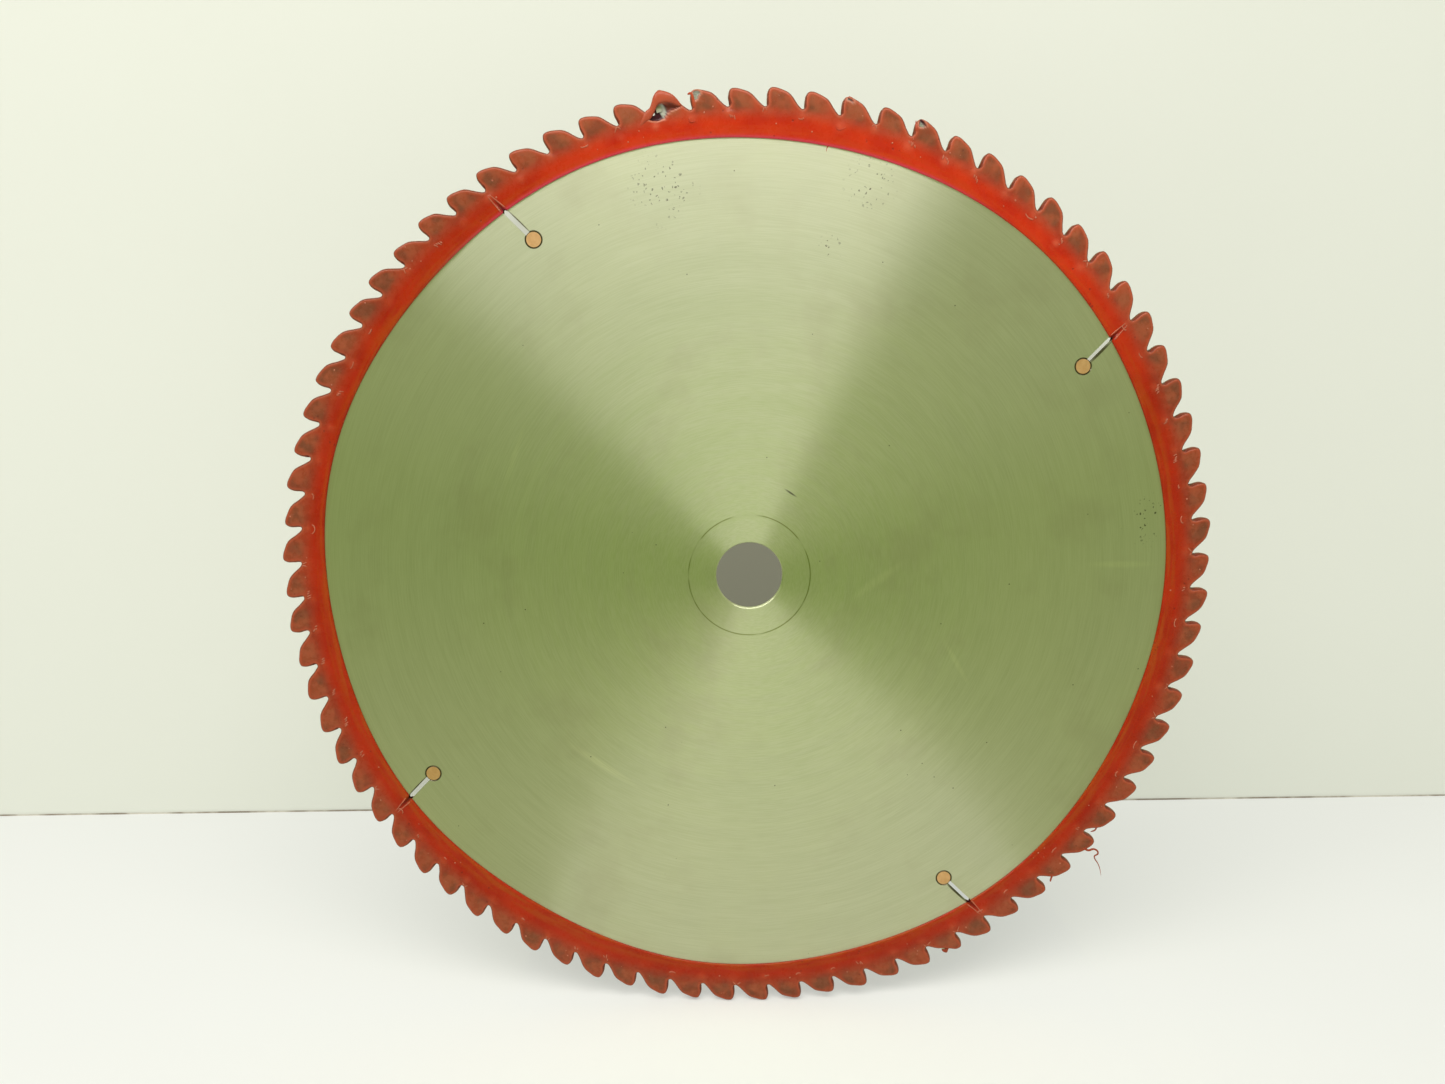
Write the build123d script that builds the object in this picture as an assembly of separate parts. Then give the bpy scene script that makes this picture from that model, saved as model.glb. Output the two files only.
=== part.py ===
"""Tipped circular saw blade, 350 mm across its tips, with a peel-off dip coat over its rim.

Frame: millimetres, origin at the centre of the bore, +Y along the bore axis, +Z up.
The blade lies in the XZ plane and its front face looks towards -Y. Angles are in degrees,
counter-clockwise from +X as seen from the front, which is also the way the teeth point.
"""
import os
from math import acos, atan2, cos, degrees, hypot, radians, sin, tan

from build123d import *

# Plate
TIP_RADIUS = 175.0           # centre to the cutting edge of the high teeth: a 350 mm blade
PLATE_THICKNESS = 2.5
BORE_RADIUS = 12.7           # one-inch bore
BORE_CHAMFER = 0.3
RING_RADIUS = 23.2           # the shallow ring cut round the arbor flange's seat on both faces
RING_WIDTH = 0.3
RING_DEPTH = 0.06

# Teeth
TOOTH_COUNT = 80
PITCH = 360 / TOOTH_COUNT
FIRST_TOOTH = 2.55           # angle of tooth 0's cutting edge
HOOK = 6.0                   # how far the tooth face leans forward from the radius
GULLET_RADIUS = 1.4
FACE_LENGTH = 5.8            # from the cutting edge down to where the gullet's round starts
SHOULDER = (-6.9, 173.45)    # corner of the tooth's back: along the travel, up the radius

# Cutting tips: odd teeth are high trapezoids, even teeth are lower, flat-topped rakers
TIP_LENGTH = 5.0
TIP_THICKNESS = 2.0
TIP_WIDTH = 3.5
RAKER_DROP = 0.45            # how far a raker's edge stands below a high tooth's edge
CORNER = 0.9                 # the 45 degree corners ground on a high tooth
TOP_CLEARANCE = 12.0
SIDE_CLEARANCE = 2.0         # narrowing towards the back of the tip
RADIAL_CLEARANCE = 0.7       # narrowing towards the foot of the tip
SEAT_TOP = 1.0               # top of the seat's back wall, below a high tooth's cutting edge
BRAZE = 0.12
BRAZE_GROUPS = 8

# Expansion slots and the plugs that end them
SLOT_COUNT = 4
SLOT_TOOTH = 7               # the first slot opens into this tooth's gullet, the rest a quarter turn on
SLOT_WIDTH = 1.8
PLUG_CIRCLE = 146.2
PLUG_ANGLE = 32.44
PLUG_HOLE_RADIUS = 3.0
PLUG_CLEARANCE = 0.01
PLUG_CHAMFER = 0.2

# Dip coat, as (along the travel, up the radius) for its outline and (radius, half width) across
COAT_FOOT = (0.45, 168.9)
COAT_FRONT = (1.05, 172.8)
COAT_NOSE = (0.65, 175.25)
COAT_TOP = (-1.2, 176.5)
COAT_BACK = (-5.2, 175.2)
COAT_SHOULDER = (-7.8, 173.8)
COAT_SECTION = [
    (159.2, 1.45),
    (159.8, 1.85),
    (165.5, 1.9),
    (169.5, 2.35),
    (174.6, 2.35),
    (177.5, 1.35),
]
COAT_RAKER_DROP = 0.25
COAT_GAP = 0.02              # film of air left between the coat and what it wraps

SAME_RADIUS = 1e-4           # two radii closer than this are one and the same


def tooth_angle(tooth):
    return FIRST_TOOTH + PITCH * tooth


def turned(point, angle):
    """A tooth's own (along the travel, up the radius) point, in a frame turned by angle."""
    along, up = point
    turn = radians(angle)
    return (along * cos(turn) + up * sin(turn), up * cos(turn) - along * sin(turn))


def place(point, angle, across=0.0):
    """A tooth's own point on the blade, for a tooth at angle."""
    along, up = point
    turn = radians(angle)
    x = up * cos(turn) - along * sin(turn)
    z = up * sin(turn) + along * cos(turn)
    return Vector(x, across, z)


def on_face(down, back=0.0):
    """The point this far down a high tooth's face from its edge and this far behind it."""
    hook = radians(HOOK)
    along = -down * sin(hook) - back * cos(hook)
    up = TIP_RADIUS - down * cos(hook) + back * sin(hook)
    return (along, up)


GULLET_CENTRE = on_face(FACE_LENGTH, -GULLET_RADIUS)


def gullet_point(direction):
    along = GULLET_CENTRE[0] + GULLET_RADIUS * cos(radians(direction))
    up = GULLET_CENTRE[1] + GULLET_RADIUS * sin(radians(direction))
    return (along, up)


def gullet_exit():
    """Direction from the gullet's centre to where the next tooth's back leaves the round."""
    next_shoulder = turned(SHOULDER, PITCH)
    along = next_shoulder[0] - GULLET_CENTRE[0]
    up = next_shoulder[1] - GULLET_CENTRE[1]
    return degrees(atan2(up, along) - acos(GULLET_RADIUS / hypot(along, up)))


def chain(points, angle, close=False):
    placed = [place(point, angle) for point in points]
    if close:
        placed.append(placed[0])
    return [Line(start, end) for start, end in zip(placed, placed[1:])]


def plate_outline():
    exit_direction = gullet_exit()
    entry_direction = 180 - HOOK - 360
    bottom = gullet_point((entry_direction + exit_direction) / 2)
    exit_point = gullet_point(exit_direction)
    tooth = [
        turned(exit_point, -PITCH),
        SHOULDER,
        on_face(SEAT_TOP, TIP_THICKNESS + BRAZE),
        on_face(TIP_LENGTH + BRAZE, TIP_THICKNESS + BRAZE),
        on_face(TIP_LENGTH + BRAZE),
        on_face(FACE_LENGTH),
    ]
    edges = []
    for number in range(TOOTH_COUNT):
        angle = tooth_angle(number)
        edges += chain(tooth, angle)
        edges.append(ThreePointArc(place(tooth[-1], angle), place(bottom, angle), place(exit_point, angle)))
    return Face(Wire(edges))


def spots(radius, angle, count):
    """Places evenly spread round the blade, each as (x, z)."""
    turns = [radians(angle + 360 / count * number) for number in range(count)]
    return [(radius * cos(turn), radius * sin(turn)) for turn in turns]


def bar_across(radius, length, x=0.0, z=0.0):
    return Pos(x, 0, z) * Rot(90, 0, 0) * Cylinder(radius, length)


def rims_of(solid, radius):
    round_edges = solid.edges().filter_by(GeomType.CIRCLE)
    return [edge for edge in round_edges if abs(edge.radius - radius) < SAME_RADIUS]


def ring_cutter(side):
    """The ring on one face, side -1 for the front and 1 for the back."""
    outside = bar_across(RING_RADIUS + RING_WIDTH / 2, 2 * RING_DEPTH)
    inside = bar_across(RING_RADIUS - RING_WIDTH / 2, 2 * RING_DEPTH)
    return Pos(0, side * PLATE_THICKNESS / 2, 0) * (outside - inside)


def slot_cutter():
    """A bar from the first plug to the gullet that its slot opens into."""
    turn = radians(PLUG_ANGLE)
    start = Vector(PLUG_CIRCLE * cos(turn), 0, PLUG_CIRCLE * sin(turn))
    end = place(GULLET_CENTRE, tooth_angle(SLOT_TOOTH))
    run = end - start
    lean = degrees(atan2(run.Z, run.X))
    middle = (start + end) * 0.5
    bar = Box(run.length, 2 * PLATE_THICKNESS, SLOT_WIDTH)
    return Pos(middle.X, 0, middle.Z) * Rot(0, -lean, 0) * bar


def saw_plate(outline):
    plate = extrude(outline, PLATE_THICKNESS / 2, both=True)
    plate -= bar_across(BORE_RADIUS, 2 * PLATE_THICKNESS)
    for x, z in spots(PLUG_CIRCLE, PLUG_ANGLE, SLOT_COUNT):
        plate -= bar_across(PLUG_HOLE_RADIUS, 2 * PLATE_THICKNESS, x, z)
    plate = chamfer(rims_of(plate, BORE_RADIUS), BORE_CHAMFER)
    plate = chamfer(rims_of(plate, PLUG_HOLE_RADIUS), PLUG_CHAMFER)
    plate -= [ring_cutter(-1), ring_cutter(1)]
    cutter = slot_cutter()
    for number in range(SLOT_COUNT):
        plate -= Rot(0, -360 / SLOT_COUNT * number, 0) * cutter
    return plate.solid()


def slot_plug(x, z):
    plug = bar_across(PLUG_HOLE_RADIUS - PLUG_CLEARANCE, PLATE_THICKNESS, x, z)
    return chamfer(plug.edges().filter_by(GeomType.CIRCLE), PLUG_CHAMFER).solid()


def tip(drop, corner, gap=0.0):
    """A cutting tip on a tooth at angle 0. A gap swells it and takes in its braze on the seat side."""
    seat_gap = gap + BRAZE if gap else 0.0
    foot = TIP_LENGTH + seat_gap
    thickness = TIP_THICKNESS + seat_gap
    sections = []
    for back in (-gap, thickness):
        half = TIP_WIDTH / 2 + gap - back * tan(radians(SIDE_CLEARANCE))
        foot_half = half - TIP_LENGTH * tan(radians(RADIAL_CLEARANCE))
        top = drop - gap + back * tan(radians(TOP_CLEARANCE))
        right = [(foot, foot_half), (top + corner, half)]
        if corner:
            right.append((top, half - corner))
        left = [(down, -across) for down, across in reversed(right)]
        points = [place(on_face(down, back), 0, across) for down, across in right + left]
        sections.append(Face(Wire.make_polygon(points)))
    return loft(sections, ruled=True).solid()


def braze_foil():
    """The L of braze between a tip and its seat, on a tooth at angle 0."""
    outline = [
        on_face(TIP_LENGTH),
        on_face(TIP_LENGTH, TIP_THICKNESS),
        on_face(SEAT_TOP, TIP_THICKNESS),
        on_face(SEAT_TOP, TIP_THICKNESS + BRAZE),
        on_face(TIP_LENGTH + BRAZE, TIP_THICKNESS + BRAZE),
        on_face(TIP_LENGTH + BRAZE),
    ]
    face = Face(Wire(chain(outline, 0, close=True)))
    return extrude(face, PLATE_THICKNESS / 2, both=True).solid()


def around(shape, teeth):
    return [Rot(0, -tooth_angle(tooth), 0) * shape for tooth in teeth]


def coat_outline():
    edges = []
    for number in range(TOOTH_COUNT):
        angle = tooth_angle(number)
        drop = COAT_RAKER_DROP if number % 2 == 0 else 0.0
        nose, top, back = [place((along, up - drop), angle) for along, up in (COAT_NOSE, COAT_TOP, COAT_BACK)]
        last_foot = place(COAT_FOOT, angle - PITCH)
        shoulder = place(COAT_SHOULDER, angle)
        front = place(COAT_FRONT, angle)
        edges.append(Line(last_foot, shoulder))
        edges.append(ThreePointArc(shoulder, back, top))
        edges.append(ThreePointArc(top, nose, front))
        edges.append(Line(front, place(COAT_FOOT, angle)))
    return Face(Wire(edges))


def dip_coat(plate, raker, high):
    near = [(radius, -half) for radius, half in COAT_SECTION]
    far = [(radius, half) for radius, half in reversed(COAT_SECTION)]
    section = Face(Wire.make_polygon([Vector(x, y, 0) for x, y in near + far]))
    band = revolve(section, Axis.Y, 360)
    coat = band & extrude(coat_outline(), 2 * PLATE_THICKNESS, both=True)
    coat -= plate
    coat -= around(raker, range(0, TOOTH_COUNT, 2))
    coat -= around(high, range(1, TOOTH_COUNT, 2))
    return coat.solid()


os.makedirs("parts", exist_ok=True)

outline = plate_outline()
plate = saw_plate(outline)
export_step(plate, "parts/saw_plate.step")

for number, (x, z) in enumerate(spots(PLUG_CIRCLE, PLUG_ANGLE, SLOT_COUNT), start=1):
    export_step(slot_plug(x, z), f"parts/slot_plug_{number}.step")

raker_tip = tip(RAKER_DROP, 0.0)
high_tip = tip(0.0, CORNER)
for pair in range(TOOTH_COUNT // 2):
    solids = around(raker_tip, [2 * pair]) + around(high_tip, [2 * pair + 1])
    export_step(Compound(children=solids), f"parts/tip_pair_{pair + 1:02d}.step")

foil = braze_foil()
teeth_per_group = TOOTH_COUNT // BRAZE_GROUPS
for group in range(BRAZE_GROUPS):
    teeth = range(group * teeth_per_group, (group + 1) * teeth_per_group)
    export_step(Compound(children=around(foil, teeth)), f"parts/braze_foils_{group + 1}.step")

coat = dip_coat(plate, tip(RAKER_DROP, 0.0, COAT_GAP), tip(0.0, CORNER, COAT_GAP))
export_step(coat, "parts/dip_coat.step")
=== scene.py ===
"""Looks of a tipped circular saw blade with a dipped rim. Metres, in the CAD frame: the blade lies in
the XZ plane, its bore runs along Y, and its front face looks towards -Y. Angles are counter-clockwise
from +X as seen from the front. The coat's own sizes are in millimetres and are scaled once."""

from math import cos, pi, radians, sin

import bpy
import numpy as np
from mathutils import Matrix, Vector


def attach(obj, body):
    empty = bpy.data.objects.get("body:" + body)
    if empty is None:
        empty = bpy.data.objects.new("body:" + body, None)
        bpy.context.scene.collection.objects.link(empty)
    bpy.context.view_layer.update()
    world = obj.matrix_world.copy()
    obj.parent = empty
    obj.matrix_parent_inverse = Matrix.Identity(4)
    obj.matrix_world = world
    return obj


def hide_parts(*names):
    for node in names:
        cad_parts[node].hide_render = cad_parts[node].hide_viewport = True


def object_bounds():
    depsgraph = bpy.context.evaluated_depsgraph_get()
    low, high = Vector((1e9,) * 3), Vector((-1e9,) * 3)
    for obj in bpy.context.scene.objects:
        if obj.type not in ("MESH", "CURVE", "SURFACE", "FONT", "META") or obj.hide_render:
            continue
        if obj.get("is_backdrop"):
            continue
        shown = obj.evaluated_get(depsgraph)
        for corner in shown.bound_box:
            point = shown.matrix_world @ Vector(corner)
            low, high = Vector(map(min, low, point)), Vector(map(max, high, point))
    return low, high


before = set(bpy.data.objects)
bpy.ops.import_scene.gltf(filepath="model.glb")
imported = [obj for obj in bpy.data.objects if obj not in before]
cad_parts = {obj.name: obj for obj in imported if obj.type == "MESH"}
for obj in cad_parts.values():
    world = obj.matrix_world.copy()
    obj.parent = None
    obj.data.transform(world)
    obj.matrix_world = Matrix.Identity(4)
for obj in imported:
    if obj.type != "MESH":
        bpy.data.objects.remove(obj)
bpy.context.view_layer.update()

MM = 0.001
SEED = 7
FRONT_SEED = 8
BACK_SEED = 9

# The blade, as the CAD has it
TOOTH_COUNT = 80
PITCH = 360 / TOOTH_COUNT
FIRST_TOOTH = 2.55               # angle of tooth 0's cutting edge
HALF_PLATE = 1.25
TIP_HALF_WIDTH = 1.75
SLOT_COUNT = 4
SLOT_START = (146.2, 32.44)      # radius and angle where the first slot leaves its plug
SLOT_END = (169.1, 34.3)         # and where it opens into a gullet

# The coat's outline round one tooth: along the travel from the cutting edge, and radius
TOOTH_OUTLINE = [
    (-11.9, 169.75),
    (-11.2, 170.35),
    (-10.0, 171.7),
    (-8.7, 173.3),
    (-7.2, 174.65),
    (-5.2, 175.45),
    (-3.1, 176.05),
    (-1.5, 176.2),
    (-0.4, 175.95),
    (0.25, 175.2),
    (0.6, 174.1),
    (0.65, 172.8),
    (0.45, 171.4),
    (0.2, 170.4),
    (0.35, 169.75),
    (0.85, 169.5),
]
RAKER_DROP = 0.3                 # even teeth are lower than odd ones
BASE_RADIUS = 166.6              # where the teeth's mesh rows meet the band's rows
EDGE_ROUND = 1.05                # width of the rounded edge all along the outline
EDGE_POWER = 2.4                 # 2 would make that edge a quarter circle, more makes it squarer
SKIN = 0.9                       # thickness of coat beyond the steel
SUNK_HALF = 0.75                 # half thickness where the coat sags into a slot
FAR_INSIDE = 99.0                # distance to the outline that is as good as any
HIDDEN_HALF = 0.5                # where the cavity's wall stays out of sight inside the steel

# The coat's inner edge: mean radius, then (waves round the blade, height, angle of the crest)
INNER_RADIUS = 159.35
INNER_WAVES = [(1, 0.2, 145), (2, 0.5, -70), (3, 0.65, 133), (4, 0.2, 75), (5, 0.25, 180),
               (6, 0.2, -100), (7, 0.55, 40), (8, 0.2, -73)]

SAMPLES = 2                      # mesh columns between two of the outline's points
TOOTH_ROWS = [0.012, 0.035, 0.07, 0.12, 0.18, 0.25, 0.32, 0.4, 0.48, 0.56, 0.64, 0.72, 0.81, 0.9]
BAND_ROWS = [0.0, 0.22, 0.45, 0.68]
LIP_ROWS = [(1.5, 0.62), (0.85, 0.66), (0.4, 0.58), (0.12, 0.36), (0.0, 0.1)]
LIP_TOP = 0.66
LIP_MARKS = [0.25, 0.75, 1.0, 1.0]
CAVITY_ROWS = [0.3, 0.65]

# Damage, as tooth and then corners or points: along the travel from that tooth's cutting edge, and radius
TEARS = [
    (22, [(-1.0, 172.8), (0.3, 171.3), (1.4, 169.8), (3.2, 168.6), (1.6, 167.7), (-0.4, 167.3),
          (-2.5, 167.7), (-4.2, 169.4), (-7.5, 170.3), (-9.3, 170.9), (-5.6, 172.7)]),
    (21, [(-0.8, 175.4), (-0.9, 172.3), (-1.8, 172.2), (-2.4, 173.6), (-3.3, 174.4), (-3.0, 175.2)]),
    (15, [(0.1, 175.8), (-0.6, 173.3), (-1.6, 173.1), (-3.0, 174.3), (-1.2, 175.8)]),
    (17, [(-0.7, 175.6), (-0.9, 174.8), (-3.0, 174.2), (-3.2, 174.8)]),
]
BARE = [
    (22, [(-1.8, 172.4), (-1.4, 170.3), (-2.45, 167.9), (-3.0, 168.4), (-3.95, 169.8), (-3.95, 171.1),
          (-3.1, 172.5)]),
    (21, [(-0.6, 175.6), (-0.7, 172.1), (-1.8, 172.0), (-2.6, 173.6), (-3.5, 174.4), (-3.2, 175.4)]),
    (15, [(-0.4, 174.9), (-0.8, 173.1), (-1.6, 172.9), (-2.6, 174.2)]),
    (17, [(-0.8, 175.2), (-0.9, 174.6), (-2.6, 174.1), (-2.6, 174.7)]),
]
BARE_FLOOR = 1.32                # half thickness at the bottom of a tear, just over the plate
DENT = (66, -6.8, 2.3, 1.5)      # tooth, middle, width and depth of the coat that is missing from its back

# The flap that stands over tooth 22's tear: (along, radius) of its lower and upper edge, height, thickness
FLAP_TOOTH = 22
FLAP = [
    ((5.8, 166.9), (6.2, 167.5), 1.8, 0.4),
    ((4.2, 167.7), (4.9, 169.5), 1.9, 0.8),
    ((2.5, 168.3), (3.3, 171.3), 2.0, 1.0),
    ((1.2, 169.2), (1.8, 172.0), 2.2, 1.1),
    ((-0.1, 170.7), (0.7, 173.5), 2.4, 1.2),
    ((-0.9, 171.9), (-0.5, 175.6), 2.7, 1.2),
    ((-1.9, 172.5), (-2.3, 177.0), 2.9, 1.2),
    ((-3.8, 172.7), (-4.0, 176.7), 3.0, 1.2),
    ((-6.0, 172.3), (-6.6, 175.4), 2.8, 1.1),
    ((-7.6, 171.5), (-8.2, 173.8), 2.4, 0.9),
    ((-9.3, 170.8), (-9.7, 171.3), 1.9, 0.4),
]

# Strands: tooth, (along, radius, height over the plate's middle) of their points, first and last radius
STRANDS = [
    (21, [(-0.5, 169.4, 1.7), (-0.6, 171.4, 1.9), (-0.4, 173.3, 2.0), (0.1, 174.6, 2.0), (1.3, 174.5, 1.6)],
     0.62, 0.4),
    (21, [(1.8, 166.6, 1.95), (1.5, 165.4, 2.0), (0.7, 165.0, 2.0), (-0.5, 165.3, 1.95)], 0.3, 0.22),
    (17, [(1.3, 165.6, 1.95), (0.7, 164.4, 2.0), (-0.5, 164.3, 2.0), (-1.7, 165.0, 2.0), (-2.5, 165.7, 1.95)],
     0.3, 0.26),
    (17, [(-1.0, 175.9, 1.4), (-2.4, 175.5, 1.8), (-3.8, 174.7, 1.8)], 0.35, 0.3),
    (17, [(2.65, 158.9, 1.5), (2.7, 158.2, 1.4), (2.9, 157.4, 1.3), (2.8, 156.2, 1.27)], 0.3, 0.06),
    (15, [(-0.9, 171.0, 1.7), (-0.1, 172.3, 1.9), (0.5, 173.5, 1.7), (1.0, 174.8, 1.4)], 0.8, 0.12),
    (66, [(-4.6, 173.2, 0.8), (-6.0, 174.0, 1.3), (-6.6, 174.5, 1.2), (-7.6, 173.4, 0.6)], 0.7, 0.8),
    (72, [(-6.8, 171.3, 1.0), (-8.6, 172.1, 1.6), (-10.2, 172.4, 1.6), (-11.8, 171.8, 1.0)], 0.36, 0.24),
    (71, [(-5.6, 171.6, 1.6), (-4.9, 174.6, 2.2), (-4.4, 175.8, 2.2), (-2.9, 177.0, 2.0), (-2.6, 178.9, 1.8),
          (-3.5, 180.0, 1.6), (-4.9, 179.7, 1.4), (-5.8, 180.7, 1.2), (-6.7, 183.4, 1.0), (-8.1, 185.8, 0.9),
          (-10.1, 188.2, 0.8)], 0.5, 0.1),
    (70, [(-6.3, 171.4, 1.4), (-8.1, 172.6, 1.9), (-9.6, 173.4, 2.0), (-10.4, 174.2, 1.8)], 0.42, 0.3),
]
PLAIN_GULLETS = (17, 21, 22)     # gullets whose strands and tears leave no room for folds
FOLD_SIDES = 8                   # sides of the tubes that make folds and strands
BLISTER_COUNT = 80


def smooth(low, high, value):
    """0 below low, 1 above high, and an even S between them. Low above high turns it round."""
    part = np.clip((value - low) / (high - low), 0, 1)
    return part * part * (3 - 2 * part)


def lerp(start, end, part):
    return start + (end - start) * part


# ---------------------------------------------------------------- coat: shape

def spline(points):
    """A closed-up Catmull-Rom curve through one tooth's points, with SAMPLES steps between them.
    points is (teeth, points, 2), as angle and radius, and each tooth runs on into the next."""
    flat = points.reshape(-1, 2)
    turns = np.array([2 * pi, 0.0])
    before = np.vstack([flat[-1:] - turns, flat[:-1]])
    after = np.vstack([flat[1:], flat[:1] + turns])
    later = np.vstack([flat[2:], flat[:2] + turns])
    steps = []
    for step in range(SAMPLES):
        part = step / SAMPLES
        cubic = (3 * (flat - after) + later - before) * part
        curve = (2 * before - 5 * flat + 4 * after - later + cubic) * part
        steps.append(flat + 0.5 * part * (after - before + curve))
    return np.stack(steps, 1).reshape(-1, 2)


def tooth_points(rng):
    """Each tooth's outline points, with the small differences that dipping leaves."""
    along, radius = np.array(TOOTH_OUTLINE).T
    teeth = np.arange(TOOTH_COUNT)
    reach = smooth(169, 176, radius)
    height = rng.normal(0, 0.12, (TOOTH_COUNT, 1)) - RAKER_DROP * (teeth[:, None] % 2 == 0)
    lean = rng.normal(0, 0.18, (TOOTH_COUNT, 1))
    plump = rng.normal(0, 0.12, (TOOTH_COUNT, 1))
    radii = radius + reach * height + plump * np.sin(np.linspace(0, pi, len(radius)))
    tooth, middle, width, depth = DENT
    radii[tooth] -= depth * np.exp(-((along - middle) / width) ** 2)
    arcs = along + reach * lean + rng.normal(0, 0.05, radii.shape)
    angles = np.radians(FIRST_TOOTH + PITCH * teeth)[:, None] + arcs / radii
    return np.stack([angles, radii], 2)


def inner_radius(angle):
    waves = [size * np.cos(count * angle - radians(crest)) for count, size, crest in INNER_WAVES]
    return INNER_RADIUS + sum(waves)


def flat_place(angle, radius):
    return np.stack([radius * np.cos(angle), radius * np.sin(angle)], -1)


def tooth_place(tooth, along, radius):
    """A place given from a tooth's cutting edge: so far along the blade's travel, at this radius."""
    return flat_place(radians(FIRST_TOOTH + PITCH * tooth) + along / radius, radius)


def slot_line(number):
    turn = 360 / SLOT_COUNT * number
    start, end = [flat_place(radians(a + turn), r) for r, a in (SLOT_START, SLOT_END)]
    return start, end


def slot_depth(place):
    """1 over the middle of a slot, falling to 0 at its walls."""
    depth = np.zeros(place.shape[:-1])
    for number in range(SLOT_COUNT):
        start, end = slot_line(number)
        run = (end - start) / np.linalg.norm(end - start)
        rel = place - start
        along = rel @ run
        off = rel[..., 0] * run[1] - rel[..., 1] * run[0]
        reach = smooth(21.5, 14, along)
        depth = np.maximum(depth, np.exp(-(off / 0.62) ** 2) * reach * (along > 0))
    return depth


def ripple(place, rng, count, wavelength, size):
    """Smooth uneven swelling: a sum of a few waves that run in different directions."""
    total = np.zeros(place.shape[:-1])
    for _ in range(count):
        heading, phase = rng.uniform(0, 2 * pi, 2)
        length = wavelength * rng.uniform(0.6, 1.6)
        wave = place[..., 0] * cos(heading) + place[..., 1] * sin(heading)
        total += np.sin(wave * 2 * pi / length + phase)
    return size * total / np.sqrt(count)


def edge_distance(place, outline, columns):
    """How far each of the tooth rows' points is from the coat's outline."""
    near = np.full(place.shape[:2], 1e9)
    span = int(columns * 0.75)
    start = outline
    for shift in range(-span, span):
        first = np.roll(start, -shift, 0)
        second = np.roll(start, -shift - 1, 0)
        run = second - first
        part = ((place - first) * run).sum(-1) / (run * run).sum(-1)
        gap = place - first - np.clip(part, 0, 1)[..., None] * run
        near = np.minimum(near, np.hypot(gap[..., 0], gap[..., 1]))
    return near


def outline_gap(place, corners):
    """How far each point is inside a closed outline, below 0 for points outside."""
    near = np.full(place.shape[:-1], 99.0)
    inside = np.zeros(place.shape[:-1], bool)
    for start, end in zip(corners, np.roll(corners, -1, 0)):
        run = end - start
        part = np.clip((place - start) @ run / (run @ run), 0, 1)
        gap = place - start - part[..., None] * run
        near = np.minimum(near, np.hypot(gap[..., 0], gap[..., 1]))
        crosses = (start[1] > place[..., 1]) != (end[1] > place[..., 1])
        run_up = np.where(crosses, run[1], 1.0)
        inside ^= crosses & (place[..., 0] < start[0] + (place[..., 1] - start[1]) * run[0] / run_up)
    return np.where(inside, near, -near)


def gap_to(place, tooth, points):
    """How far each point is inside an outline that is given from one tooth."""
    return outline_gap(place, np.array([tooth_place(tooth, along, radius) for along, radius in points]))


def torn_floor(place, half):
    """Sinks the coat inside its tears. Returns the new half thickness, and marks for the look: how torn,
    how dark, how bare, and the pale cut edge."""
    torn, dark, bare, edge = [np.zeros(half.shape) for _ in range(4)]
    angle = np.degrees(np.arctan2(place[..., 1], place[..., 0]))
    radius = np.hypot(place[..., 0], place[..., 1])
    for tooth, points in TEARS:
        gap = gap_to(place, tooth, points)
        turn = (angle - FIRST_TOOTH - PITCH * tooth + 180) % 360 - 180
        inside = smooth(-0.15, 0.35, gap)
        half = lerp(half, BARE_FLOOR, inside)
        torn = np.maximum(torn, inside)
        dark = np.maximum(dark, inside * smooth(-4.6, -3.4, np.radians(turn) * radius))
        edge = np.maximum(edge, np.exp(-((gap + 0.3) / 0.3) ** 2))
    for tooth, points in BARE:
        bare = np.maximum(bare, torn * smooth(-0.2, 0.3, gap_to(place, tooth, points)))
    return half, {"torn": torn, "dark": dark, "bare": bare, "edge": edge}


def by_tear(place):
    """1 at and round the tears, where the cavity's wall keeps out of sight inside the steel."""
    found = np.zeros(place.shape[:-1])
    for tooth, points in TEARS:
        found = np.maximum(found, smooth(-4, -3, gap_to(place, tooth, points)))
    return found


def pool(along, radius, offset, level, width):
    """A rounded swelling of coat under the gullet that is offset millimetres along."""
    return np.exp(-((along - offset) / width) ** 2 - ((radius - level) / (0.8 * width)) ** 2)


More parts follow.
